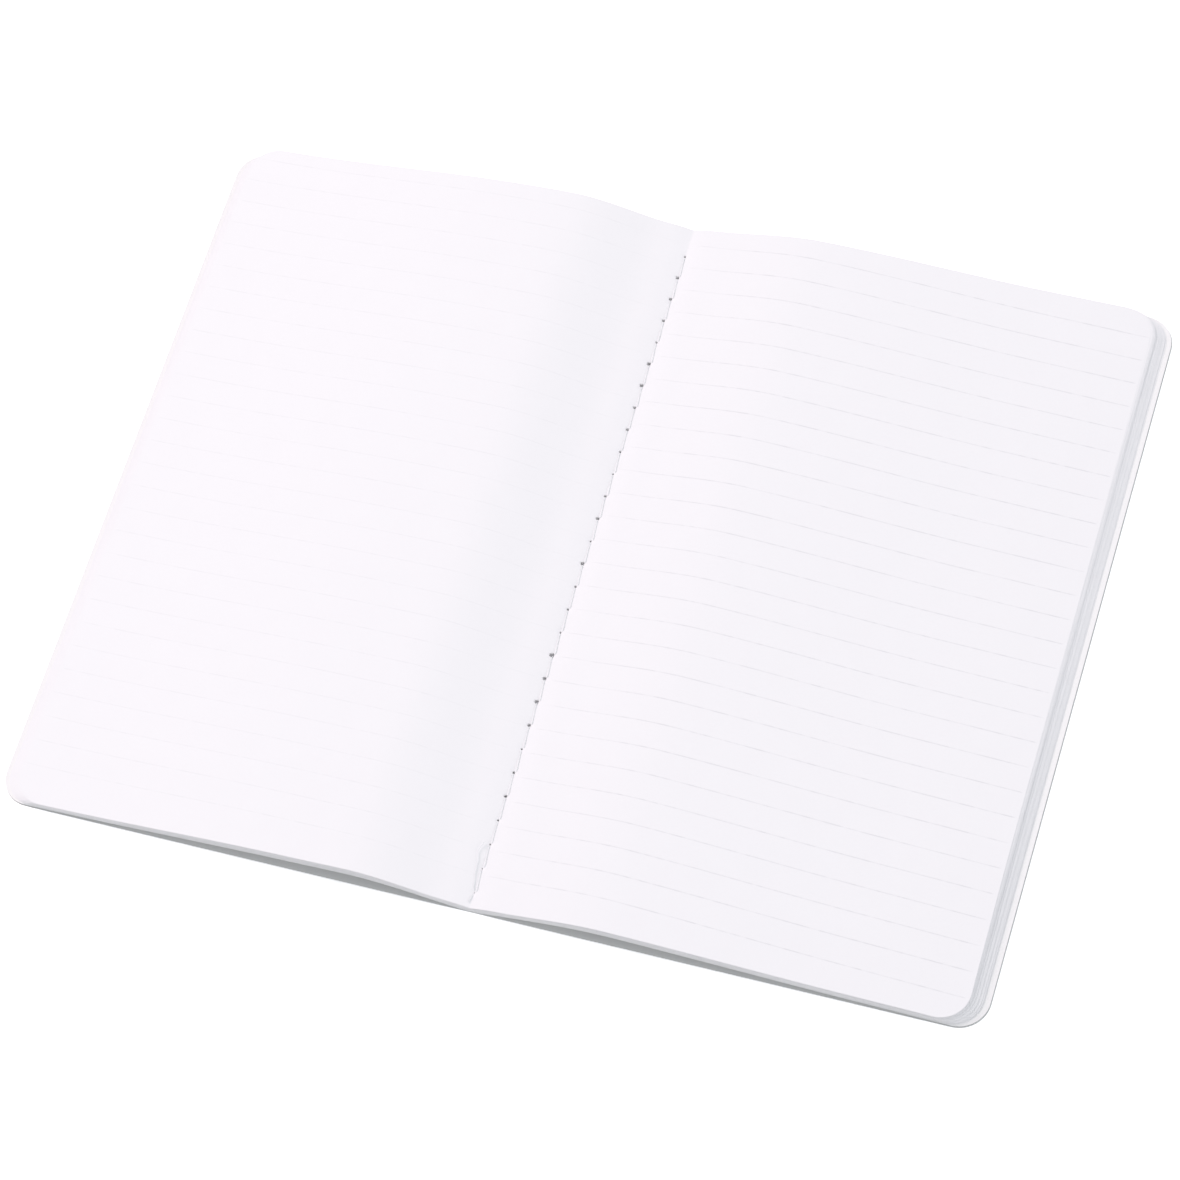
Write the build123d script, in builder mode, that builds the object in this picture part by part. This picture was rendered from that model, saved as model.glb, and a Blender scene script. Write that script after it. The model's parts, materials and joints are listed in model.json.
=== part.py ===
from build123d import *
import math
import os

# An open thread-sewn exercise book, lying face up at its centre spread.
# Units are millimetres. +X runs across the spread to the right-hand page, +Y runs up
# the fold towards the head, +Z is up. The origin is under the middle of the spine.

# Trimmed size of the closed book
page_height = 203.2
closed_width = 133.35
corner_radius = 8.0

# Paper and card
sheet_count = 24
paper_thickness = 0.085
paper_air_gap = 0.015
card_thickness = 0.35
card_air_gap = 0.05
card_strip_at_fore_edge = 1.4
trim_allowance = 2.0

# The arch of each half above the table
arch_height = 5.0
arch_peak_reach = 34.0
gutter_radius = 8.0
spine_half_width = 1.3

# Sewing thread and its holes
thread_diameter = 0.3
outer_stitch_thickness = 0.15
stitch_count = 28
first_hole_from_head = 9.2
last_hole_from_tail = 5.0
loose_end_length = 3.0
needle_hole_diameter = 0.5
thread_groove_width = 0.5
thread_groove_depth = 0.2

# Clearances
thread_side_gap = 0.15
thread_meeting_gap = 0.1
spine_side_gap = 0.05
turning_root_gap = 1.1

# How many right-hand leaves turn by themselves
turning_leaf_count = 6

# Heights at the fold, from the table up
paper_pitch = paper_thickness + paper_air_gap
block_base = card_thickness + card_air_gap
block_thickness = sheet_count * paper_pitch
gutter_top = block_base + block_thickness

# A sheet that wraps round the closed spine needs a quarter turn more for each layer below it
wrap_share = math.pi / 2
cover_reach = closed_width + (wrap_share - 1) * gutter_top
lowest_leaf_reach = cover_reach - card_strip_at_fore_edge
creep_step = wrap_share * paper_pitch

# The arch is a hollow arc at the gutter, a crest arc and a straight fall to the fore-edge.
# Its angles follow from its height and the place of its peak.
rise_run = arch_peak_reach - spine_half_width
rise_angle = 2 * math.atan2(arch_height, rise_run)
crest_radius = rise_run / math.sin(rise_angle) - gutter_radius
crest_drop = crest_radius - arch_height
fall_run = cover_reach - arch_peak_reach
fall_angle = math.atan2(fall_run, crest_drop) - math.acos(crest_radius / math.hypot(fall_run, crest_drop))

# Places of the needle holes along the fold
needle_hole_count = stitch_count + 1
sewn_length = page_height - first_hole_from_head - last_hole_from_tail
stitch_pitch = sewn_length / stitch_count
tail_hole_y = last_hole_from_tail - page_height / 2
sewn_middle_y = tail_hole_y + sewn_length / 2
thread_radius = thread_diameter / 2
root_gap = thread_radius + thread_side_gap
thread_meeting_z = block_base + block_thickness / 2


def arch_curve(side, lift, start, reach):
    """Draw one half's curve, lift above the cover's underside, and return its two ends."""
    hollow = gutter_radius - lift
    crest = crest_radius + lift

    def on_hollow(angle):
        return (side * (spine_half_width + hollow * math.sin(angle)), gutter_radius - hollow * math.cos(angle))

    def on_crest(angle):
        return (side * (arch_peak_reach + crest * math.sin(angle)), crest * math.cos(angle) - crest_drop)

    inner_end = (side * start, lift)
    if start < spine_half_width:
        Line(inner_end, on_hollow(0))
    ThreePointArc(on_hollow(0), on_hollow(rise_angle / 2), on_hollow(rise_angle))
    ThreePointArc(on_crest(-rise_angle), on_crest(0), on_crest(fall_angle))
    crest_end = on_crest(fall_angle)
    fall = (reach - abs(crest_end[0])) * math.tan(fall_angle)
    outer_end = (side * reach, crest_end[1] - fall)
    Line(crest_end, outer_end)
    return inner_end, outer_end


def arched_sheet(side, lift, thickness, start, reach):
    """A sheet of one half, bent oversize and trimmed to its outline with two rounded corners."""
    with BuildPart() as sheet:
        with BuildSketch(Plane.XZ.offset(-page_height / 2 - trim_allowance)):
            with BuildLine():
                low_inner, low_outer = arch_curve(side, lift, start, reach + trim_allowance)
                high_inner, high_outer = arch_curve(side, lift + thickness, start, reach + trim_allowance)
                Line(low_inner, high_inner)
                Line(low_outer, high_outer)
            make_face()
        extrude(amount=page_height + 2 * trim_allowance)
        with BuildSketch(Plane.XY.offset(-trim_allowance)) as outline:
            with Locations((side * reach / 2, 0)):
                Rectangle(reach, page_height)
            fillet(outline.vertices().group_by(Axis.X)[-1 if side > 0 else 0], radius=corner_radius)
        extrude(amount=arch_height + gutter_top + 2 * trim_allowance, mode=Mode.INTERSECT)
    return sheet.part


def leaf(side, number, start):
    """Leaf number 1 is the open page, and the last one lies on the cover."""
    below = sheet_count - number
    lift = block_base + below * paper_pitch
    reach = lowest_leaf_reach - below * creep_step
    return arched_sheet(side, lift, paper_thickness, start, reach)


def cover_half(side):
    """Half of the soft card cover, from the edge of the spine strip to the fore-edge."""
    return arched_sheet(side, 0, card_thickness, spine_half_width, cover_reach)


def save(part, label):
    part.label = label
    export_step(part, f"parts/{label}.step")


os.makedirs("parts", exist_ok=True)

# Cover
save(cover_half(1), "right_cover")
save(cover_half(-1), "left_cover")

with BuildPart() as spine_strip:
    with BuildSketch():
        Rectangle(2 * (spine_half_width - spine_side_gap), page_height)
    extrude(amount=card_thickness)
    with BuildSketch():
        Rectangle(thread_groove_width, page_height)
    extrude(amount=thread_groove_depth, mode=Mode.SUBTRACT)
    with BuildSketch():
        with Locations((0, sewn_middle_y)):
            with GridLocations(stitch_pitch, stitch_pitch, 1, needle_hole_count):
                Circle(needle_hole_diameter / 2)
    extrude(amount=card_thickness, mode=Mode.SUBTRACT)
save(spine_strip.part, "spine_strip")

# Leaves, from the open page down to the cover
for number in range(1, sheet_count + 1):
    turns = number <= turning_leaf_count
    save(leaf(1, number, turning_root_gap if turns else root_gap), f"right_leaf_{number:02d}")
    save(leaf(-1, number, root_gap), f"left_leaf_{number:02d}")

# Thread that shows in the gutter: a run along the fold, with a leg down each needle hole
inner_bottom = thread_meeting_z + thread_meeting_gap / 2
with BuildPart() as gutter_thread:
    with BuildSketch(Plane.YZ.offset(-thread_radius)):
        with Locations((sewn_middle_y, gutter_top)):
            Rectangle(sewn_length + thread_diameter, thread_diameter)
        with Locations((tail_hole_y, gutter_top)):
            Rectangle(loose_end_length, thread_diameter, align=(Align.MAX, Align.CENTER))
        with Locations((sewn_middle_y, inner_bottom)):
            with GridLocations(stitch_pitch, stitch_pitch, needle_hole_count, 1):
                Rectangle(thread_diameter, gutter_top - inner_bottom, align=(Align.CENTER, Align.MIN))
    extrude(amount=thread_diameter)
save(gutter_thread.part, "gutter_thread")

# Thread that lies in the groove outside the spine, with a leg up each needle hole
outer_base = (thread_groove_depth - outer_stitch_thickness) / 2
outer_top = thread_meeting_z - thread_meeting_gap / 2
with BuildPart() as spine_thread:
    with BuildSketch(Plane.YZ.offset(-thread_radius)):
        with Locations((sewn_middle_y, outer_base)):
            Rectangle(
                sewn_length + thread_diameter,
                outer_stitch_thickness,
                align=(Align.CENTER, Align.MIN),
            )
            with GridLocations(stitch_pitch, stitch_pitch, needle_hole_count, 1):
                Rectangle(thread_diameter, outer_top - outer_base, align=(Align.CENTER, Align.MIN))
    extrude(amount=thread_diameter)
save(spine_thread.part, "spine_thread")
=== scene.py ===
"""An open thread-sewn exercise book: its paper, card and sewing, and the studio it is shown in."""

import json
import math
import random
from collections import namedtuple

import bpy
import numpy as np
from bpy.props import FloatProperty, FloatVectorProperty, IntProperty, PointerProperty
from mathutils import Euler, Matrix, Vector, noise

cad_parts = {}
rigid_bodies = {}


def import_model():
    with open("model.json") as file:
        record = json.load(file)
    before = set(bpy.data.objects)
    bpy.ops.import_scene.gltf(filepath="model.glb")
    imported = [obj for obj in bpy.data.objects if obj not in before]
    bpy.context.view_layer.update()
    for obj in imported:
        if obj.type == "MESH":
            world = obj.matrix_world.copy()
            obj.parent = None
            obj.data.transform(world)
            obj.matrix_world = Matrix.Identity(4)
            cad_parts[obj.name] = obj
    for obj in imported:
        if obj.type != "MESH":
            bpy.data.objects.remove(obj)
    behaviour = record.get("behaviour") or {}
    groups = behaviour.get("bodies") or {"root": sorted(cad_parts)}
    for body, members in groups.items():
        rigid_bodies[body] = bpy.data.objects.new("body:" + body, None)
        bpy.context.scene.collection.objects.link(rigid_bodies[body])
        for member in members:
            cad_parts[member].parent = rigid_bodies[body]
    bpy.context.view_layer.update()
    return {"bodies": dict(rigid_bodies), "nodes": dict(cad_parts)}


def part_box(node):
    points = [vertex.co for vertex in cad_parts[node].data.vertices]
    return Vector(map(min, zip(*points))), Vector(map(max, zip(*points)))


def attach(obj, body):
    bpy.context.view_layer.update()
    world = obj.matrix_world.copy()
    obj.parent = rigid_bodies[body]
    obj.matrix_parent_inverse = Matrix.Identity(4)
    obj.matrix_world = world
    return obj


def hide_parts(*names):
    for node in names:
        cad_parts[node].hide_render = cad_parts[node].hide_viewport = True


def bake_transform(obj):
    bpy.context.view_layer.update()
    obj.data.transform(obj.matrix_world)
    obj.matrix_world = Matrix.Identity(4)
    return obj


bl_info = {
    "name": "Sewn exercise book",
    "version": (1, 0, 0),
    "blender": (4, 5, 0),
    "location": "View3D > Sidebar > Book",
    "description": "Builds the leaves, cover, sewing and studio of an open exercise book",
    "category": "Object",
}

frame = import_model()

MM = 0.001

# Sizes that the frame gives. The fold lies along Y, and x runs out from it to the fore-edges.
spine_low, spine_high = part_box("spine_strip")
cover_low, cover_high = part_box("right_cover")
top_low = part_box("left_leaf_01")[0]
LEAF_COUNT = sum(name.startswith("left_leaf") for name in frame["nodes"])
TURNING_COUNT = sum(name.startswith("turning_leaf") for name in frame["bodies"])
LOWEST_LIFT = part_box(f"left_leaf_{LEAF_COUNT:02d}")[0].z
LEAF_PITCH = (top_low.z - LOWEST_LIFT) / (LEAF_COUNT - 1)
PAGE_HEIGHT = cover_high.y - cover_low.y
HALF_HEIGHT = PAGE_HEIGHT / 2
COVER_REACH = cover_high.x
SPINE_HALF = cover_low.x
CARD_THICKNESS = spine_high.z - spine_low.z

PAGE_MAP = "page"
LEFT = -1
RIGHT = 1

# From where to where, out from the fold, each half's belly rises and falls and the left half's twist grows
BELLY_RISE = {LEFT: (7 * MM, 32 * MM), RIGHT: (12 * MM, 38 * MM)}
BELLY_FALL = {LEFT: (50 * MM, 118 * MM), RIGHT: (42 * MM, 100 * MM)}
TWIST_RISE = (15 * MM, 45 * MM)

# From where to where, out from the fold, a top leaf's puff and its ripples grow
PUFF_RISE = (30 * MM, COVER_REACH)
RIPPLE_RISE = (2 * MM, 30 * MM)

# From where to where, down the page from its middle, the right page's tail corner lifts
CORNER_RISE = (-0.15 * PAGE_HEIGHT, HALF_HEIGHT)

# How unevenly the leaves are cut: the height in millimetres, the slant as a multiple of the uneven creep,
# with one of its own for each open page, and the length of the waves in the edge
UNEVEN_TRIM = 0.03
UNEVEN_SKEW = 2
TOP_SKEW = {LEFT: 0, RIGHT: -12}
EDGE_WAVE = 34 * MM

# A needle hole is torn wider towards the left page, where the thread pulls, and bends the mesh this far out
HOLE_WIDENING = {LEFT: 1.7, RIGHT: 0.35}
HOLE_FADE = 4 * MM

# The thread's two ends fill the last holes, so they look smaller
LOCKED_HOLES = (0.45, 0.5, 0.5)

# The upper leaves are modelled with their needle holes. Those below are out of sight
PIERCED_COUNT = 14

# Rows of mesh at a needle hole, in hole radii from its middle, on the top leaves and on those below
TOP_HOLE_ROWS = (-5, -3.6, -2.4, -1.6, -1, -0.9, -0.6, -0.25, 0.25, 0.6, 0.9, 1, 1.6, 2.4, 3.6, 5)
HOLE_ROWS = (-1, -0.6, 0.6, 1)

# Mesh of a sheet: steps round a corner, spacing of its rows, width of the column by the fold, how many times
# wider each next column is, and the widest
Grid = namedtuple("Grid", "corner_steps row_step first_column growth widest_column")
TOP_GRID = Grid(12, 4 * MM, 0.12 * MM, 1.22, 3.5 * MM)
LEAF_GRID = Grid(8, 6 * MM, 0.4 * MM, 1.22, 6.5 * MM)
COVER_GRID = Grid(12, 5 * MM, 0.08 * MM, 1.35, 5 * MM)

# Points along a stitch or a loose end
PATH_STEPS = 72

# Seeds of the random draws, for the gaps between the leaves, the holes' widths and the stitches
GAP_SEED = {LEFT: 5, RIGHT: 11}
HOLE_SEED = 21
STITCH_SEED = 3

# The camera stands a metre off, in front and to the right, and leans a little. Its turn is in degrees
CAMERA_PLACE = (0.2773, -0.36998, 0.89559)
CAMERA_TURN = (25.169, 9.783, 17.255)
CAMERA_LENS = 115.8

# The floor's half width, and its height, which keeps it just clear of the cover
FLOOR_HALF = 3.0
FLOOR_HEIGHT = -0.02 * MM

WHITE = (1.0, 1.0, 1.0, 1.0)


def linear(red, green, blue):
    """A colour given in the 0 to 255 steps of a picture, as Blender's linear values."""

    def step(value):
        share = value / 255
        return share / 12.92 if share <= 0.04045 else ((share + 0.055) / 1.055) ** 2.4

    return (step(red), step(green), step(blue), 1.0)


class BookPaperSettings(bpy.types.PropertyGroup):
    """The leaves' paper and its ruling."""

    thickness: FloatProperty(
        name="Thickness", description="Thickness of one leaf", default=0.085 * MM, subtype="DISTANCE"
    )
    colour: FloatVectorProperty(
        name="Paper", description="Colour of the page", size=4, default=linear(251, 250, 253), subtype="COLOR"
    )
    shade_colour: FloatVectorProperty(
        name="Paper clouds", description="The paper's darker clouds", size=4,
        default=linear(249, 248, 251), subtype="COLOR"
    )
    line_colour: FloatVectorProperty(
        name="Ruling", description="Colour of the ruled lines", size=4,
        default=linear(222, 222, 226), subtype="COLOR"
    )
    edge_colour: FloatVectorProperty(
        name="Cut edge", description="Colour of the trimmed edge", size=4,
        default=linear(252, 250, 249), subtype="COLOR"
    )
    left_print: FloatProperty(
        name="Left print", description="Strength of the ruling on the left-hand pages",
        default=0.15, subtype="FACTOR"
    )
    right_print: FloatProperty(
        name="Right print", description="Strength of the ruling on the right-hand pages",
        default=0.46, subtype="FACTOR"
    )
    line_count: IntProperty(name="Lines", description="Ruled lines on a page", default=28)
    line_pitch: FloatProperty(
        name="Line spacing", description="From one line to the next", default=7.0 * MM, subtype="DISTANCE"
    )
    line_width: FloatProperty(
        name="Line width", description="Width of a ruled line", default=0.3 * MM, subtype="DISTANCE"
    )
    head_margin: FloatProperty(
        name="Head margin", description="From the head to the first line at the fold",
        default=5.05 * MM, subtype="DISTANCE"
    )
    fold_margin: FloatProperty(
        name="Fold margin", description="From the fold to the lines' inner ends",
        default=1.5 * MM, subtype="DISTANCE"
    )
    fore_margin: FloatProperty(
        name="Fore-edge margin", description="From the top leaf's fore-edge to the lines' outer ends",
        default=0.4 * MM, subtype="DISTANCE"
    )
    left_slant: FloatProperty(
        name="Left slant", description="How far the left page's lines rise outwards",
        default=math.radians(0.61), subtype="ANGLE"
    )
    right_slant: FloatProperty(
        name="Right slant", description="How far the right page's lines rise outwards",
        default=math.radians(-1.15), subtype="ANGLE"
    )


class BookShapeSettings(bpy.types.PropertyGroup):
    """How the open halves lie."""

    corner_radius: FloatProperty(
        name="Corner radius", description="Rounding of the outer corners", default=8 * MM, subtype="DISTANCE"
    )
    gutter_radius: FloatProperty(
        name="Gutter radius", description="Hollow of the cover beside the spine",
        default=8 * MM, subtype="DISTANCE"
    )
    arch_height: FloatProperty(
        name="Arch height", description="Rise of the cover over the table", default=5 * MM, subtype="DISTANCE"
    )
    peak_reach: FloatProperty(
        name="Arch peak", description="From the fold to the top of the arch", default=34 * MM,
        subtype="DISTANCE"
    )
    crease_half: FloatProperty(
        name="Crease", description="Half width of the flat bottom of the crease", default=0.15 * MM,
        subtype="DISTANCE"
    )
    crease_fade: FloatProperty(
        name="Crease fade", description="Where the crease's extra lift has died out", default=12 * MM,
        subtype="DISTANCE"
    )
    left_belly: FloatProperty(
        name="Left belly", description="How far the left half stands above its plain arch, half way up",
        default=3.3 * MM, subtype="DISTANCE"
    )
    left_twist: FloatProperty(
        name="Left twist", description="How much more that is at the head, and less at the tail",
        default=0.8 * MM, subtype="DISTANCE"
    )
    right_belly: FloatProperty(
        name="Right belly", description="How far the right half stands above its plain arch",
        default=2.0 * MM, subtype="DISTANCE"
    )
    left_puff: FloatProperty(
        name="Left puff", description="Extra lift of the left page at its fore-edge", default=0.9 * MM,
        subtype="DISTANCE"
    )
    right_puff: FloatProperty(
        name="Right puff", description="Extra lift of the right page at its fore-edge", default=0.3 * MM,
        subtype="DISTANCE"
    )
    corner_puff: FloatProperty(
        name="Tail corner puff", description="Further lift of the right page towards its tail corner",
        default=0.8 * MM, subtype="DISTANCE"
    )
    sag: FloatProperty(
        name="Sag", description="Share of the belly that the cover doesn't take, so the leaves lie loosely",
        default=0.4, subtype="FACTOR"
    )
    curl: FloatProperty(
        name="Fore-edge curl", description="Lift of the cover and all its leaves at the fore-edge",
        default=0.35 * MM, subtype="DISTANCE"
    )
    curl_reach: FloatProperty(
        name="Curl width", description="How far in from the fore-edge the curl begins", default=12 * MM,
        subtype="DISTANCE"
    )
    ripple: FloatProperty(
        name="Ripple", description="Waviness of the top leaf", default=0.22 * MM, subtype="DISTANCE"
    )
    creep_jitter: FloatProperty(
        name="Uneven creep", description="How far a leaf's edge strays from its place",
        default=0.05 * MM, subtype="DISTANCE"
    )


class BookCoverSettings(bpy.types.PropertyGroup):
    """The card cover."""

    colour: FloatVectorProperty(
        name="Card", description="Colour of the card", size=4, default=linear(252, 251, 252), subtype="COLOR"
    )
    fleck_colour: FloatVectorProperty(
        name="Card fibres", description="Colour of the card's darker fibres", size=4,
        default=linear(246, 245, 246), subtype="COLOR"
    )
    edge_colour: FloatVectorProperty(
        name="Card edge", description="Colour of the card's cut edge", size=4,
        default=linear(238, 238, 239), subtype="COLOR"
    )
    groove_half: FloatProperty(
        name="Thread groove", description="Half width of the groove that the spine thread lies in",
        default=0.25 * MM, subtype="DISTANCE"
    )
    groove_depth: FloatProperty(
        name="Groove depth", description="Depth of that groove", default=0.2 * MM, subtype="DISTANCE"
    )


class BookSewingSettings(bpy.types.PropertyGroup):
    """The thread and its needle holes."""

    colour: FloatVectorProperty(
        name="Thread", description="Colour of the thread", size=4, default=linear(253, 254, 255),
        subtype="COLOR"
    )
    shade_colour: FloatVectorProperty(
        name="Thread fibres", description="Darker fibres of the thread", size=4,
        default=linear(247, 248, 250), subtype="COLOR"
    )
    thickness: FloatProperty(
        name="Thread thickness", description="Thickness of the thread", default=0.3 * MM,
        subtype="DISTANCE"
    )
    stitch_count: IntProperty(name="Stitches", description="Stitches along the fold", default=28)
    tail_margin: FloatProperty(
        name="Tail margin", description="From the tail to the last needle hole", default=4.3 * MM,
        subtype="DISTANCE"
    )
    head_margin: FloatProperty(
        name="Head margin", description="From the head to the first needle hole", default=8.5 * MM,
        subtype="DISTANCE"
    )
    hole_width: FloatProperty(
        name="Needle hole", description="Length of a needle hole", default=0.95 * MM, subtype="DISTANCE"
    )
    pucker: FloatProperty(
        name="Pucker", description="How far the paper is drawn down at a hole", default=0.33 * MM,
        subtype="DISTANCE"
    )
    pucker_reach: FloatProperty(
        name="Pucker reach", description="How far the pucker spreads", default=0.95 * MM, subtype="DISTANCE"
    )
    twist: FloatProperty(
        name="Twist", description="Length of thread in one turn of its plies", default=1.1 * MM,
        subtype="DISTANCE"
    )
    hole_spread: FloatProperty(
        name="Uneven holes", description="How much the holes differ in width", default=0.42, subtype="FACTOR"
    )
    slant: FloatProperty(
        name="Stitch slant", description="How far a stitch drifts sideways along its length",
        default=0.75 * MM, subtype="DISTANCE"
    )
    drop: FloatProperty(
        name="Dive", description="How far a stitch's ends go down their holes", default=1.2 * MM,
        subtype="DISTANCE"
    )
    loose_end: FloatProperty(
        name="Loose end", description="Length of the loose end at the tail", default=3.0 * MM,
        subtype="DISTANCE"
    )
    turned_end: FloatProperty(
        name="Turned end", description="Length of the other loose end, which lies beside the last stitch",
        default=13.5 * MM, subtype="DISTANCE"
    )


class BookStudioSettings(bpy.types.PropertyGroup):
    """Lamps, floor and surroundings."""

    ambient: FloatProperty(name="Surroundings", description="Light from all round", default=0.727)
    ambient_colour: FloatVectorProperty(
        name="Surroundings' colour", description="Colour of the light from all round", size=4,
        default=(0.94, 0.98, 1.0, 1.0), subtype="COLOR"
    )
    lamp_size: FloatProperty(
        name="Lamp size", description="Width of both lamps' faces", default=0.7, subtype="DISTANCE"
    )
    key_power: FloatProperty(
        name="Key lamp", description="Power of the lamp on the left", default=9.1, subtype="POWER"
    )
    key_colour: FloatVectorProperty(
        name="Key colour", description="Colour of the key lamp", size=3, default=(1.0, 0.82, 0.84),
        subtype="COLOR"
    )
    key_azimuth: FloatProperty(
        name="Key direction", description="Where the key lamp stands, counted from the right-hand page",
        default=math.radians(165), subtype="ANGLE"
    )
    key_elevation: FloatProperty(
        name="Key height", description="The key lamp's angle above the table", default=math.radians(52),
        subtype="ANGLE"
    )
    key_distance: FloatProperty(
        name="Key distance", description="From the book to the key lamp", default=1.6, subtype="DISTANCE"
    )
    fill_power: FloatProperty(
        name="Fill lamp", description="Power of the lamp on the right", default=4.5, subtype="POWER"
    )
    fill_colour: FloatVectorProperty(
        name="Fill colour", description="Colour of the fill lamp", size=3, default=(1.0, 0.97, 0.98),
        subtype="COLOR"
    )
    fill_azimuth: FloatProperty(
        name="Fill direction", description="Where the fill lamp stands, counted from the right-hand page",
        default=math.radians(-10), subtype="ANGLE"
    )
    fill_elevation: FloatProperty(
        name="Fill height", description="The fill lamp's angle above the table", default=math.radians(20),
        subtype="ANGLE"
    )
    fill_distance: FloatProperty(
        name="Fill distance", description="From the book to the fill lamp", default=2.0, subtype="DISTANCE"
    )
    floor_colour: FloatVectorProperty(
        name="Floor", description="Colour of the floor", size=4, default=(0.75, 0.75, 0.75, 1.0),
        subtype="COLOR"
    )
    floor_lift: FloatVectorProperty(
        name="Floor lift", description="What is added to the floor's colour for the camera, to burn it out",
        size=4, default=(1.1, 1.1, 1.1, 1.0), subtype="COLOR"
    )
    # The painted floor shade reaches this far past the book's outline on the right and at the tail, where it
    # shows as a close shadow line
    painted_shadow_margin: FloatProperty(
        name="Contact shadow", description="How far the close shadow shows on the right and at the tail",
        default=0.25 * MM, subtype="DISTANCE"
    )


# Meshes


def smooth_step(low, high, value):
    """Runs from 0 at low to 1 at high, with level ends."""
    share = np.clip((value - low) / (high - low), 0, 1)
    return share * share * (3 - 2 * share)


def arch_z(out, lift):
    """Height over the table of a surface that lies lift above the cover's underside, out from the fold."""
    shape = bpy.context.scene.book_shape
    hollow = shape.gutter_radius - lift
    rise_run = shape.peak_reach - SPINE_HALF
    rise_angle = 2 * math.atan2(shape.arch_height, rise_run)
    cover_crest = rise_run / math.sin(rise_angle) - shape.gutter_radius
    drop = cover_crest - shape.arch_height
    fall_run = COVER_REACH - shape.peak_reach
    fall_angle = math.atan2(fall_run, drop) - math.acos(cover_crest / math.hypot(fall_run, drop))
    crest = cover_crest + lift
    hollow_end = SPINE_HALF + hollow * math.sin(rise_angle)
    crest_end = shape.peak_reach + crest * math.sin(fall_angle)
    in_hollow = shape.gutter_radius - np.sqrt(np.maximum(hollow**2 - (out - SPINE_HALF) ** 2, 0))
    on_crest = np.sqrt(np.maximum(crest**2 - (out - shape.peak_reach) ** 2, 0)) - drop
    on_fall = crest * math.cos(fall_angle) - drop - (out - crest_end) * math.tan(fall_angle)
    level = np.full_like(out, lift)
    stretches = [out < SPINE_HALF, out < hollow_end, out < crest_end]
    plain = np.select(stretches, [level, in_hollow, on_crest], on_fall)
    past =np.maximum(out - (COVER_REACH - shape.curl_reach), 0) / shape.curl_reach
    return plain + shape.curl * past**2


def crease_lift(out):
    """What turns the top leaf's flat-bottomed gutter into a crease with straight sides."""
    shape = bpy.context.scene.book_shape
    lift = top_low.z
    rise_angle = 2 * math.atan2(shape.arch_height, shape.peak_reach - SPINE_HALF)
    hollow_end = SPINE_HALF + (shape.gutter_radius - lift) * math.sin(rise_angle)

    def over(places):
        straight = math.tan(rise_angle) * np.maximum(places - shape.crease_half, 0)
        return straight - (arch_z(places, lift) - lift)

    most = over(np.array([hollow_end]))[0]
    fading = most * (1 - smooth_step(hollow_end, shape.crease_fade, out))
    return np.where(out < hollow_end, over(out), fading)


def belly(out, up, side):
    """How far a half's cover and leaves stand above the plain arch."""
    shape = bpy.context.scene.book_shape
    full = shape.left_belly if side == LEFT else shape.right_belly
    raised = full * smooth_step(*BELLY_RISE[side], out)
    if side == LEFT:
        raised = raised + shape.left_twist * up / HALF_HEIGHT * smooth_step(*TWIST_RISE, out)
    return raised * (1 - smooth_step(*BELLY_FALL[side], out))


def ripple_field(out, up, side):
    """Gentle waves between 0 and 1, longer along the page than across it, and different on each side."""
    wave_across, wave_along, gain, side_step = 46 * MM, 70 * MM, 0.75, 7.3
    places = np.stack([out / wave_across, up / wave_along], axis=-1).reshape(-1, 2)
    waves = [noise.noise(Vector((across, along, side * side_step))) for across, along in places]
    return np.clip(0.5 + gain * np.array(waves), 0, 1).reshape(out.shape)


def swell(out, up, side):
    """How far the top leaf of a half stands above its plain arch, apart from the crease and the belly."""
    shape = bpy.context.scene.book_shape
    puff = shape.left_puff + shape.left_twist * up / HALF_HEIGHT
    if side == RIGHT:
        puff = shape.right_puff + shape.corner_puff * smooth_step(*CORNER_RISE, -up)
    waves = shape.ripple * smooth_step(*RIPPLE_RISE, out) * ripple_field(out, up, side)
    return puff * smooth_step(*PUFF_RISE, out) + waves


def needle_holes():
    """Places of the needle holes along the fold, from head to tail."""
    sewing = bpy.context.scene.book_sewing
    return np.linspace(
        HALF_HEIGHT - sewing.head_margin, sewing.tail_margin - HALF_HEIGHT, sewing.stitch_count + 1
    )


def hole_radii():
    """Half widths of the needle holes, which differ a little."""
    sewing = bpy.context.scene.book_sewing
    draw = random.Random(HOLE_SEED)
    spread = np.array([1 + sewing.hole_spread * draw.uniform(-1, 1) for _ in needle_holes()])
    spread[-len(LOCKED_HOLES):] *= LOCKED_HOLES
    return sewing.hole_width / 2 * spread


def pucker_at(out, up):
    """How far the top leaf is drawn down near the needle holes."""
    sewing = bpy.context.scene.book_sewing
    nearest = np.min(np.abs(up[..., None] - needle_holes()), axis=-1)
    return sewing.pucker * np.exp(-(nearest**2 + out**2) / sewing.pucker_reach**2)


def page_top(out, up):
    """Height of the open page's upper face near the fold."""
    paper = bpy.context.scene.book_paper
    return arch_z(out, top_low.z + paper.thickness) + crease_lift(out) - pucker_at(out, up)


def leaf_shares(side):
    """How much of the puff each leaf takes, from the bottom one to the top one, which takes it all."""
    draw = random.Random(GAP_SEED[side])
    smallest_gap, unevenness = 0.1, 3
    gaps = [draw.uniform(smallest_gap, 1.0) ** unevenness for _ in range(LEAF_COUNT)]
    total = np.cumsum(gaps)
    return total / total[-1]


def rows_along(grid, extra=()):
    """Heights of a sheet's rows, close together round the corners and at the extra places."""
    shape = bpy.context.scene.book_shape
    flat_end = HALF_HEIGHT - shape.corner_radius
    turn = np.linspace(0, math.pi / 2, grid.corner_steps + 1)[1:]
    corner = flat_end + shape.corner_radius * np.sin(turn)
    middle = np.linspace(-flat_end, flat_end, int(2 * flat_end / grid.row_step) + 2)
    return np.unique(np.concatenate([-corner, middle, corner, list(extra)]).round(decimals=7))


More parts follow.
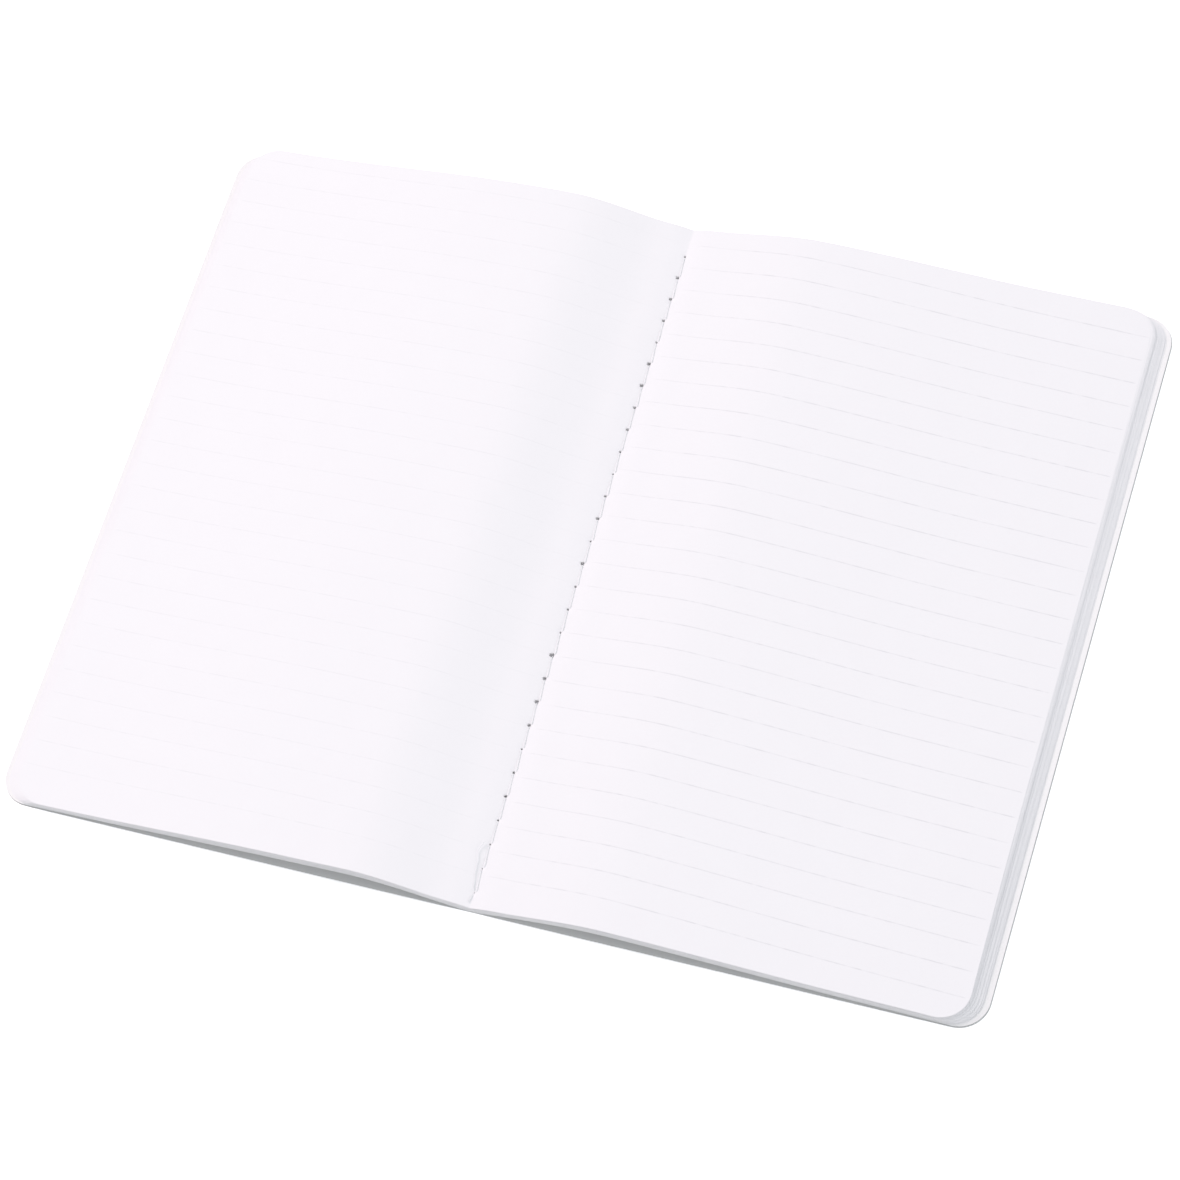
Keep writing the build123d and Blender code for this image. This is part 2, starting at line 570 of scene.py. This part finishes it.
def columns_out(grid, reach):
    """Distances from the fold of a sheet's columns: fine in the gutter and even further out."""
    places, gap = [0.0], grid.first_column
    while places[-1] < reach - 1.5 * grid.widest_column:
        places.append(places[-1] + gap)
        gap = min(gap * grid.growth, grid.widest_column)
    return np.array(places[:-1] + [reach])


def outline_reach(up, reach):
    """How far out a sheet with rounded corners goes at each height."""
    radius = bpy.context.scene.book_shape.corner_radius
    past = np.clip(np.abs(up) - (HALF_HEIGHT - radius), 0, radius)
    return reach - radius + np.sqrt(np.maximum(radius**2 - past**2, 0))


def add_object(name, data):
    """A new object in the scene."""
    made = bpy.data.objects.new(name, data)
    bpy.context.scene.collection.objects.link(made)
    return made


def smooth_mesh(name, points, faces):
    """A new mesh with smooth faces."""
    mesh = bpy.data.meshes.new(name)
    mesh.from_pydata(points, [], faces)
    mesh.polygons.foreach_set("use_smooth", np.ones(len(faces), bool))
    return mesh


def closed_sheet(name, out, up, low, high, side, map_point):
    """A thin closed sheet from grids of places whose rows go up the page and columns out from the fold.

    The first material is for its faces and the second one for its cut edge. Where a point lies on the page
    map is what map_point gives.
    """
    upper = out.size
    across = out * side
    points = np.concatenate([np.stack([across, up, z], axis=-1).reshape(-1, 3) for z in (low, high)])
    index = np.arange(upper).reshape(out.shape)
    around = [index[:-1, :-1], index[:-1, 1:], index[1:, 1:], index[1:, :-1]]
    quads = np.stack(around, axis=-1).reshape(-1, 4)
    loop = np.concatenate([index[0, :-1], index[:-1, -1], index[-1, :0:-1], index[:0:-1, 0]])
    after = np.roll(loop, -1)
    rim = np.stack([loop, after, after + upper, loop + upper], axis=-1)
    faces = np.concatenate([quads + upper, quads[:, ::-1], rim])
    if side == LEFT:
        faces = faces[:, ::-1]
    mesh = smooth_mesh(name, points.tolist(), faces.tolist())
    face_materials = np.repeat([0, 1], [2 * len(quads), len(rim)])
    mesh.polygons.foreach_set("material_index", face_materials.astype(np.int32))
    mesh.set_sharp_from_angle(angle=math.radians(50))
    corners = np.zeros(len(mesh.loops), np.int32)
    mesh.loops.foreach_get("vertex_index", corners)
    layer = mesh.uv_layers.new(name=PAGE_MAP)
    layer.uv.foreach_set("vector", map_point(points)[corners].astype(np.float32).ravel())
    mesh.update()
    return add_object(name, mesh)


def make_leaf(side, number, materials):
    """One leaf from the fold to its fore-edge, in place of its CAD node. Number 1 is the open page."""
    paper = bpy.context.scene.book_paper
    shape = bpy.context.scene.book_shape
    node = f"{'left' if side == LEFT else 'right'}_leaf_{number:02d}"
    node_low, node_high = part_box(node)
    reach = max(node_high.x, -node_low.x)
    lift = LOWEST_LIFT + (LEAF_COUNT - number) * LEAF_PITCH
    depth_share = (LEAF_COUNT + 1 - number) / LEAF_COUNT
    puff_share = leaf_shares(side)[LEAF_COUNT - number]
    shows = number == 1
    pierced = number <= PIERCED_COUNT
    grid, hole_rows = (TOP_GRID, TOP_HOLE_ROWS) if shows else (LEAF_GRID, HOLE_ROWS)
    holes, radii = needle_holes(), hole_radii()
    extra = []
    if pierced:
        extra = [hole + radius * row for hole, radius in zip(holes, radii) for row in hole_rows]
    up_places = rows_along(grid, extra)
    out_places = columns_out(grid, reach)

    # The cut differs a little from leaf to leaf, and each leaf has its own stretch of the noise
    draw = random.Random(100 * number + side)
    trim = draw.uniform(-UNEVEN_TRIM, UNEVEN_TRIM) * MM
    skew = draw.uniform(-1, 1) * shape.creep_jitter * UNEVEN_SKEW
    if shows:
        skew = TOP_SKEW[side] * shape.creep_jitter
    leaf_place, side_place = number * 3.1, side * 5.7
    waves = [noise.noise(Vector((up / EDGE_WAVE, leaf_place, side_place))) for up in up_places]
    far_reach = outline_reach(up_places, reach) + shape.creep_jitter * np.array(waves)
    far_reach += skew * (up_places / HALF_HEIGHT) ** 3

    # The edge at the fold steps back round the needle holes
    start = np.zeros_like(up_places)
    if pierced:
        inside = radii**2 - (up_places[:, None] - holes) ** 2
        start = HOLE_WIDENING[side] * np.sqrt(np.maximum(inside, 0)).max(axis=1)
    out = (out_places / reach) * far_reach[:, None]
    out += start[:, None] * (1 - smooth_step(0, HOLE_FADE, out))
    up = np.repeat(up_places[:, None] * (1 + trim / HALF_HEIGHT), len(out_places), axis=1)

    extra_lift = depth_share * (crease_lift(out) - pucker_at(out, up)) + puff_share * swell(out, up, side)
    extra_lift += belly(out, up, side) * (1 - shape.sag * (1 - depth_share))
    low = arch_z(out, lift) + extra_lift
    high = arch_z(out, lift + paper.thickness) + extra_lift
    slant = math.tan(paper.left_slant if side == LEFT else paper.right_slant)

    def map_point(points):
        away = np.abs(points[:, 0])
        return np.stack([away, points[:, 1] - slant * away + HALF_HEIGHT], axis=-1) / PAGE_HEIGHT

    leaf = closed_sheet(node.replace("leaf", "page"), out, up, low, high, side, map_point)
    for material in materials:
        leaf.data.materials.append(material)
    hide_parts(node)
    return leaf


def eased_steps():
    """Steps from 0 to 1 along a thread, close together at both its ends."""
    return (1 - np.cos(np.linspace(0, math.pi, PATH_STEPS))) / 2


def loose_path(start, direction, length, places, lift):
    """A thread end that comes up out of a needle hole and lies beside the fold, with its tip a little raised.

    The places are how far right of the fold it lies, at even steps of its length.
    """
    sewing = bpy.context.scene.book_sewing
    dive_length = 1.2 * MM
    step = eased_steps()
    along = start + direction * length * step
    knots = np.linspace(0, 1, len(places))
    shares = [smooth_step(first, second, step) for first, second in zip(knots, knots[1:])]
    bends = zip(shares, places, places[1:])
    across = places[0] + sum(share * (after - before) for share, before, after in bends)
    resting = page_top(np.abs(across), along) + sewing.thickness / 2 + lift * step**2
    dive = sewing.drop * np.maximum(1 - step * length / dive_length, 0) ** 2
    return np.stack([across, along, resting - dive], axis=-1)


def thread_mesh(name, paths, flatness=1.0):
    """Three-ply thread along each path, with every ply a closed tube that winds round the path."""
    sewing = bpy.context.scene.book_sewing
    ply_count, side_count = 3, 6
    ply_radius = sewing.thickness / 2 / (1 + 2 / math.sqrt(3))
    wind_radius = sewing.thickness / 2 - ply_radius
    points, faces = [], []
    for path in paths:
        along = np.gradient(path, axis=0)
        along /= np.linalg.norm(along, axis=1)[:, None]
        across = np.array([1.0, 0, 0]) - along[:, :1] * along
        across /= np.linalg.norm(across, axis=1)[:, None]
        upward = np.cross(along, across) * flatness
        travelled = np.concatenate([[0], np.cumsum(np.linalg.norm(np.diff(path, axis=0), axis=1))])
        for ply in range(ply_count):
            turn = 2 * math.pi * (travelled / sewing.twist + ply / ply_count)
            away = np.cos(turn)[:, None] * across + np.sin(turn)[:, None] * upward
            centre = path + wind_radius * away
            first = len(points)
            for step in range(len(path)):
                for side in range(side_count):
                    angle = 2 * math.pi * side / side_count
                    spoke = math.cos(angle) * across[step] + math.sin(angle) * upward[step]
                    points.append(centre[step] + ply_radius * spoke)
            for step in range(len(path) - 1):
                here = first + step * side_count
                there = here + side_count
                for side in range(side_count):
                    beside = (side + 1) % side_count
                    faces.append((here + side, here + beside, there + beside, there + side))
            last = first + (len(path) - 1) * side_count
            faces.append(tuple(range(first + side_count - 1, first - 1, -1)))
            faces.append(tuple(range(last, last + side_count)))
    mesh = smooth_mesh(name, [tuple(point) for point in points], faces)
    mesh.update()
    return add_object(name, mesh)


# Materials


def empty_tree(owner):
    """The node tree of a new material or world, with nothing in it."""
    owner.use_nodes = True
    owner.node_tree.nodes.clear()
    return owner.node_tree


def add_node(tree, kind, values=None, **settings):
    """Adds a node, with numbers or other nodes' sockets for its inputs."""
    node = tree.nodes.new(kind)
    for name, value in settings.items():
        setattr(node, name, value)
    for name, value in (values or {}).items():
        if isinstance(value, bpy.types.NodeSocket):
            tree.links.new(value, node.inputs[name])
        else:
            node.inputs[name].default_value = value
    return node


def new_material(name, specular, roughness=0.5, sheen=0.0):
    """A material with one Principled shader of this finish, its node tree and that shader."""
    material = bpy.data.materials.new(name)
    tree = empty_tree(material)
    values = {"Specular IOR Level": specular, "Roughness": roughness, "Sheen Weight": sheen}
    shader = add_node(tree, "ShaderNodeBsdfPrincipled", values)
    add_node(tree, "ShaderNodeOutputMaterial", {"Surface": shader.outputs["BSDF"]})
    return material, tree, shader


def calculate(tree, operation, first, second=0.0):
    """A Math node's result."""
    return add_node(tree, "ShaderNodeMath", {0: first, 1: second}, operation=operation).outputs[0]


def remap(tree, value, low, high, to_low=0.0, to_high=1.0, kind="LINEAR"):
    """A value that runs from low to high, carried over to run from to_low to to_high and no further."""
    values = {"Value": value, "From Min": low, "From Max": high, "To Min": to_low, "To Max": to_high}
    return add_node(tree, "ShaderNodeMapRange", values, interpolation_type=kind).outputs["Result"]


def fade(tree, value, low, high):
    """A smooth step from 0 where the value is low to 1 where it is high."""
    return remap(tree, value, low, high, kind="SMOOTHSTEP")


def blend_colours(tree, share, first, second):
    """The mix of two colours."""
    values = {0: share, 6: first, 7: second}
    return add_node(tree, "ShaderNodeMix", values, data_type="RGBA").outputs[2]


def cloud(tree, place, scale, detail):
    """A noise pattern with scale features to the unit of its place."""
    values = {"Vector": place, "Scale": scale, "Detail": detail}
    return add_node(tree, "ShaderNodeTexNoise", values).outputs["Fac"]


def map_in_millimetres(tree, size):
    """A place on the flat sheet, in millimetres, where size is what one unit of the page map stands for."""
    mapped = add_node(tree, "ShaderNodeUVMap", uv_map=PAGE_MAP).outputs["UV"]
    values = {0: mapped, "Scale": size / MM}
    return add_node(tree, "ShaderNodeVectorMath", values, operation="SCALE").outputs["Vector"]


def add_fibres(tree, shader, height, depth):
    """Fine fibres in the surface, as a bump."""
    bump = add_node(tree, "ShaderNodeBump", {"Height": height, "Strength": 0.35, "Distance": depth})
    tree.links.new(bump.outputs["Normal"], shader.inputs["Normal"])


def ruled_paper(name, strength):
    """Smooth white writing paper with faint, broken grey lines."""
    paper = bpy.context.scene.book_paper
    material, tree, shader = new_material(name, specular=0.3)
    place = map_in_millimetres(tree, PAGE_HEIGHT)
    parts = add_node(tree, "ShaderNodeSeparateXYZ", {0: place})
    out, up = parts.outputs["X"], parts.outputs["Y"]

    # The lines, a little blurred at their sides, from the first one to the last
    first_line = (PAGE_HEIGHT - paper.head_margin) / MM
    pitch = paper.line_pitch / MM
    line_number = calculate(tree, "DIVIDE", calculate(tree, "SUBTRACT", first_line, up), pitch)
    off_line = calculate(tree, "MULTIPLY", calculate(tree, "PINGPONG", line_number, 0.5), pitch)
    half_width, blur = paper.line_width / MM / 2, 0.4
    on_line = fade(tree, off_line, half_width * (1 + blur), half_width * (1 - blur))
    from_first = calculate(tree, "GREATER_THAN", line_number, -0.5)
    to_last = calculate(tree, "LESS_THAN", line_number, paper.line_count - 0.5)

    # They begin softly by the fold, are faint over the gutter and end short of the fore-edge
    begin_fade, end_fade, gutter_width, gutter_strength = 2 * MM, 1.5 * MM, 32.0, 0.35
    begins = fade(tree, out, paper.fold_margin / MM, (paper.fold_margin + begin_fade) / MM)
    by_fold = remap(tree, out, 0.0, gutter_width, to_low=gutter_strength)
    line_end = -top_low.x - paper.fore_margin
    ends = fade(tree, out, line_end / MM, (line_end - end_fade) / MM)

    # The print is weak in places and strong in others
    weakest, strongest = 0.35 * strength, 1.3 * strength
    worn = remap(tree, cloud(tree, place, scale=0.3, detail=4.0), 0.38, 0.62, weakest, strongest)
    ink = on_line
    for share in (from_first, to_last, begins, by_fold, ends, worn):
        ink = calculate(tree, "MULTIPLY", ink, share)

    clouds = cloud(tree, place, scale=0.12, detail=4.0)
    sheet = blend_colours(tree, clouds, paper.colour, paper.shade_colour)
    tree.links.new(blend_colours(tree, ink, sheet, paper.line_colour), shader.inputs["Base Color"])
    fibres = cloud(tree, place, scale=4.0, detail=5.0)
    smoothest, roughest = 0.78, 0.95
    tree.links.new(remap(tree, fibres, 0.0, 1.0, smoothest, roughest), shader.inputs["Roughness"])
    add_fibres(tree, shader, fibres, 0.012 * MM)
    return material


def cut_edge(name, size, scale, colour, grain_colour):
    """The trimmed edge of a leaf or of the cover, rough and finely grained."""
    material, tree, shader = new_material(name, specular=0.2, roughness=0.95)
    grain = cloud(tree, map_in_millimetres(tree, size), scale, detail=3.0)
    tree.links.new(blend_colours(tree, grain, colour, grain_colour), shader.inputs["Base Color"])
    return material


def cover_card():
    """Plain uncoated card, with short fibres that lie along the book's height."""
    cover = bpy.context.scene.book_cover
    material, tree, shader = new_material("cover_card", specular=0.35, roughness=0.82)
    values = {0: map_in_millimetres(tree, 2 * COVER_REACH), 1: (3.0, 0.7, 1.0)}
    stretched = add_node(tree, "ShaderNodeVectorMath", values, operation="MULTIPLY").outputs["Vector"]
    fibres = cloud(tree, stretched, scale=1.6, detail=6.0)
    share = fade(tree, fibres, 0.45, 0.75)
    colour = blend_colours(tree, share, cover.colour, cover.fleck_colour)
    tree.links.new(colour, shader.inputs["Base Color"])
    add_fibres(tree, shader, fibres, 0.03 * MM)
    return material


def cotton_thread():
    """White cotton with fine fibres and a soft sheen."""
    sewing = bpy.context.scene.book_sewing
    material, tree, shader = new_material("cotton_thread", specular=0.25, roughness=0.85, sheen=0.15)
    place = add_node(tree, "ShaderNodeTexCoord").outputs["Object"]
    fibres = cloud(tree, place, scale=6000.0, detail=3.0)
    colour = blend_colours(tree, fibres, sewing.colour, sewing.shade_colour)
    tree.links.new(colour, shader.inputs["Base Color"])
    add_fibres(tree, shader, fibres, 0.02 * MM)
    return material


def is_shown_ray(tree):
    """1 for the rays that should see the plain background: the camera's own, and mirrored or bent ones."""
    path = add_node(tree, "ShaderNodeLightPath").outputs
    either = calculate(tree, "MAXIMUM", path["Is Camera Ray"], path["Is Glossy Ray"])
    return calculate(tree, "MAXIMUM", either, path["Is Transmission Ray"])


def painted_floor_shade(tree):
    """Painted floor shade: 1 on the floor beneath the open book, and 0 round it and where nothing is close
    above.
    """
    studio = bpy.context.scene.book_studio
    margin = studio.painted_shadow_margin / 2
    place = add_node(tree, "ShaderNodeTexCoord").outputs["Object"]
    values = {0: place, 1: (-margin, margin, 0.0)}
    moved = add_node(tree, "ShaderNodeVectorMath", values, operation="ADD").outputs["Vector"]
    parts = add_node(tree, "ShaderNodeSeparateXYZ", {0: moved}).outputs

    # The book's outline, with its rounded corners
    radius = bpy.context.scene.book_shape.corner_radius
    squares = []
    for axis, half in (("X", COVER_REACH), ("Y", HALF_HEIGHT)):
        beyond = calculate(tree, "ABSOLUTE", parts[axis])
        beyond = calculate(tree, "SUBTRACT", beyond, half + margin - radius)
        beyond = calculate(tree, "MAXIMUM", beyond, 0.0)
        squares.append(calculate(tree, "MULTIPLY", beyond, beyond))
    far = calculate(tree, "SQRT", calculate(tree, "ADD", *squares))
    inside = calculate(tree, "LESS_THAN", far, radius)

    # The painted shade falls where the things this close to the floor leave little of the sky open, read from
    # ambient occlusion
    look_up, open_from, full_shade_from = 60 * MM, 0.85, 0.6
    occlusion = add_node(tree, "ShaderNodeAmbientOcclusion", {"Distance": look_up}, samples=8)
    painted_shade_share = fade(tree, occlusion.outputs["AO"], open_from, full_shade_from)
    return calculate(tree, "MULTIPLY", inside, painted_shade_share)


def studio_floor():
    """A pale floor, burnt out to white for the camera except beneath the book, where painted shade leaves it
    unlifted and darker.
    """
    studio = bpy.context.scene.book_studio
    material = bpy.data.materials.new("studio_floor")
    tree = empty_tree(material)
    matt = add_node(tree, "ShaderNodeBsdfDiffuse", {"Color": studio.floor_colour})
    lift = add_node(tree, "ShaderNodeBsdfDiffuse", {"Color": studio.floor_lift})
    lit = add_node(tree, "ShaderNodeAddShader", {0: matt.outputs[0], 1: lift.outputs[0]})
    # Where the painted floor shade is full, the camera sees only the matt floor, without the lift that burns
    # it out
    without_painted_shade = calculate(tree, "SUBTRACT", 1.0, painted_floor_shade(tree))
    burnt = calculate(tree, "MULTIPLY", is_shown_ray(tree), without_painted_shade)
    mixed = add_node(tree, "ShaderNodeMixShader", {0: burnt, 1: matt.outputs[0], 2: lit.outputs[0]})
    add_node(tree, "ShaderNodeOutputMaterial", {"Surface": mixed.outputs[0]})
    return material


def studio_world():
    """Even light from all round, which the camera sees as white."""
    studio = bpy.context.scene.book_studio
    world = bpy.data.worlds.new("studio")
    tree = empty_tree(world)
    light = {"Color": studio.ambient_colour, "Strength": studio.ambient}
    around = add_node(tree, "ShaderNodeBackground", light)
    seen = add_node(tree, "ShaderNodeBackground", {"Color": WHITE, "Strength": 1.0})
    either = {0: is_shown_ray(tree), 1: around.outputs[0], 2: seen.outputs[0]}
    mixed = add_node(tree, "ShaderNodeMixShader", either)
    add_node(tree, "ShaderNodeOutputWorld", {"Surface": mixed.outputs[0]})
    return world


# Operators


class BOOK_OT_make_stage(bpy.types.Operator):
    """Make the camera, the lamps, the surroundings and the floor"""

    bl_idname = "book.make_stage"
    bl_label = "Stage"

    def execute(self, context):
        scene = context.scene
        studio = scene.book_studio
        scene.view_settings.view_transform = "Standard"
        scene.world = studio_world()

        camera = bpy.data.cameras.new("camera")
        camera.sensor_width = 36.0
        camera.lens = CAMERA_LENS
        camera.clip_start = 0.05
        viewer = add_object("camera", camera)
        viewer.location = CAMERA_PLACE
        viewer.rotation_euler = Euler([math.radians(angle) for angle in CAMERA_TURN])
        scene.camera = viewer

        for name in ("key", "fill"):
            light = bpy.data.lights.new(f"{name}_lamp", "AREA")
            light.energy = getattr(studio, f"{name}_power")
            light.color = getattr(studio, f"{name}_colour")
            light.size = studio.lamp_size
            azimuth, elevation = getattr(studio, f"{name}_azimuth"), getattr(studio, f"{name}_elevation")
            flat = math.cos(elevation)
            towards = Vector((flat * math.cos(azimuth), flat * math.sin(azimuth), math.sin(elevation)))
            lamp = add_object(f"{name}_lamp", light)
            lamp.location = towards * getattr(studio, f"{name}_distance")
            lamp.rotation_euler = towards.to_track_quat("Z", "Y").to_euler()

        mesh = bpy.data.meshes.new("studio_floor")
        signs = ((-1, -1), (1, -1), (1, 1), (-1, 1))
        corners = [(FLOOR_HALF * across, FLOOR_HALF * along, FLOOR_HEIGHT) for across, along in signs]
        mesh.from_pydata(corners, [], [(0, 1, 2, 3)])
        mesh.materials.append(studio_floor())
        floor = add_object("studio_floor", mesh)
        return {"FINISHED"}


class BOOK_OT_make_leaves(bpy.types.Operator):
    """Make the leaves of both halves, with their ruling, creep and needle holes"""

    bl_idname = "book.make_leaves"
    bl_label = "Leaves"

    def execute(self, context):
        paper = context.scene.book_paper
        edge = cut_edge("cut_paper", PAGE_HEIGHT, 1.5, paper.edge_colour, paper.colour)
        materials = {
            LEFT: (ruled_paper("left_page_paper", paper.left_print), edge),
            RIGHT: (ruled_paper("right_page_paper", paper.right_print), edge),
        }
        for number in range(1, LEAF_COUNT + 1):
            left = make_leaf(LEFT, number, materials[LEFT])
            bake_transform(left)
            right = make_leaf(RIGHT, number, materials[RIGHT])
            if number <= TURNING_COUNT:
                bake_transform(right)
            else:
                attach(right, "right_half")
        return {"FINISHED"}


class BOOK_OT_make_cover(bpy.types.Operator):
    """Make the card cover as one piece that bends at the spine"""

    bl_idname = "book.make_cover"
    bl_label = "Cover"

    def execute(self, context):
        settings = context.scene.book_cover
        up_places = rows_along(COVER_GRID)
        half = columns_out(COVER_GRID, COVER_REACH)
        columns = np.concatenate([-half[:0:-1], half]) / COVER_REACH
        out = columns * outline_reach(up_places, COVER_REACH)[:, None]
        up = np.repeat(up_places[:, None], len(columns), axis=1)
        away = np.abs(out)
        wall_from, wall_to = 0.7 * settings.groove_half, 1.3 * settings.groove_half
        groove = settings.groove_depth * (1 - smooth_step(wall_from, wall_to, away))
        raised = np.where(out < 0, belly(away, up, LEFT), belly(away, up, RIGHT))
        raised *= 1 - context.scene.book_shape.sag
        low = arch_z(away, 0) + raised + groove
        high = arch_z(away, CARD_THICKNESS) + raised

        def map_point(points):
            return points[:, :2] / (2 * COVER_REACH) + 0.5

        cover = closed_sheet("card_cover", out, up, low, high, RIGHT, map_point)
        edge = cut_edge("cut_card", 2 * COVER_REACH, 2.0, settings.edge_colour, settings.fleck_colour)
        for material in (cover_card(), edge):
            cover.data.materials.append(material)
        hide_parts("right_cover", "spine_strip", "left_cover")
        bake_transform(cover)
        return {"FINISHED"}


class BOOK_OT_make_sewing(bpy.types.Operator):
    """Make the stitches in the gutter with their loose end, and those along the spine"""

    bl_idname = "book.make_sewing"
    bl_label = "Sewing"

    def execute(self, context):
        sewing = context.scene.book_sewing
        holes = needle_holes()
        radius = sewing.thickness / 2
        step = eased_steps()
        draw = random.Random(STITCH_SEED)

        # Two stitches share each hole, one on either side of its middle
        inset = 0.9 * radius

        # 1 at both ends of a stitch and 0 in its middle. Its powers die out sooner away from the holes
        ends = np.abs(2 * step - 1)

        # A stitch starts this share of its drift left of the fold, and is back at the fold at its lower hole
        start_share = 0.2
        back = (1 - start_share) * step**24

        # The thread strays sideways and stands off the page a little beside its holes
        drift_factors, stray, hump_heights = (0.6, 1.1), 0.04, (0.08, 0.2)
        hump_shape = ends**5 - ends**16

        # Outside the spine it lies this far up in its groove, and rises this far into its holes
        groove_lift, hole_rise = 0.1 * MM, 0.35 * MM

        inner, outer = [], []
        for upper, lower in zip(holes, holes[1:]):
            along = upper - inset + (lower - upper + 2 * inset) * step
            drift = sewing.slant * draw.uniform(*drift_factors)
            across = drift * (step - start_share - back) + draw.uniform(-stray, stray) * MM
            hump = draw.uniform(*hump_heights) * MM * hump_shape
            resting = page_top(np.abs(across), along) + radius + hump
            inner.append(np.stack([across, along, resting - sewing.drop * ends**18], axis=-1))
            low = spine_low.z + groove_lift + hole_rise * ends**16
            outer.append(np.stack([0 * across, along, low], axis=-1))
        last = holes[-1]
        tail_places = [place * MM for place in (-0.1, -0.35, -0.7)]
        inner.append(loose_path(last + inset, -1, sewing.loose_end + inset, tail_places, 0.2 * MM))
        turned_places = [place * MM for place in (-0.2, -0.75, -1.3, -1.6, -2.2, -1.5)]
        inner.append(loose_path(last - inset, 1, sewing.turned_end + inset, turned_places, 0.5 * MM))
        cotton = cotton_thread()
        gutter = thread_mesh("gutter_stitches", inner)
        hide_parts("gutter_thread")
        spine = thread_mesh("spine_stitches", outer, flatness=0.5)
        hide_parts("spine_thread")
        for thread in (gutter, spine):
            thread.data.materials.append(cotton)
            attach(thread, "right_half")
        return {"FINISHED"}


class BOOK_PT_sidebar(bpy.types.Panel):
    """The book's pieces and settings"""

    bl_idname = "BOOK_PT_sidebar"
    bl_label = "Sewn exercise book"
    bl_space_type = "VIEW_3D"
    bl_region_type = "UI"
    bl_category = "Book"

    def draw(self, context):
        layout = self.layout
        for operator in operators:
            layout.operator(operator.bl_idname)
        for name, group in settings_groups.items():
            box = layout.box()
            box.label(text=name.replace("_", " ").capitalize())
            for setting in group.__annotations__:
                box.prop(getattr(context.scene, name), setting)


operators = (BOOK_OT_make_stage, BOOK_OT_make_cover, BOOK_OT_make_leaves, BOOK_OT_make_sewing)
settings_groups = {
    "book_paper": BookPaperSettings,
    "book_shape": BookShapeSettings,
    "book_cover": BookCoverSettings,
    "book_sewing": BookSewingSettings,
    "book_studio": BookStudioSettings,
}


def register():
    for name, group in settings_groups.items():
        bpy.utils.register_class(group)
        setattr(bpy.types.Scene, name, PointerProperty(type=group))
    for made in (*operators, BOOK_PT_sidebar):
        bpy.utils.register_class(made)


def unregister():
    for made in (BOOK_PT_sidebar, *reversed(operators)):
        bpy.utils.unregister_class(made)
    for name, group in reversed(settings_groups.items()):
        delattr(bpy.types.Scene, name)
        bpy.utils.unregister_class(group)


def main():
    register()
    bpy.ops.book.make_stage()
    bpy.ops.book.make_cover()
    bpy.ops.book.make_leaves()
    bpy.ops.book.make_sewing()


if __name__ == "__main__":
    main()
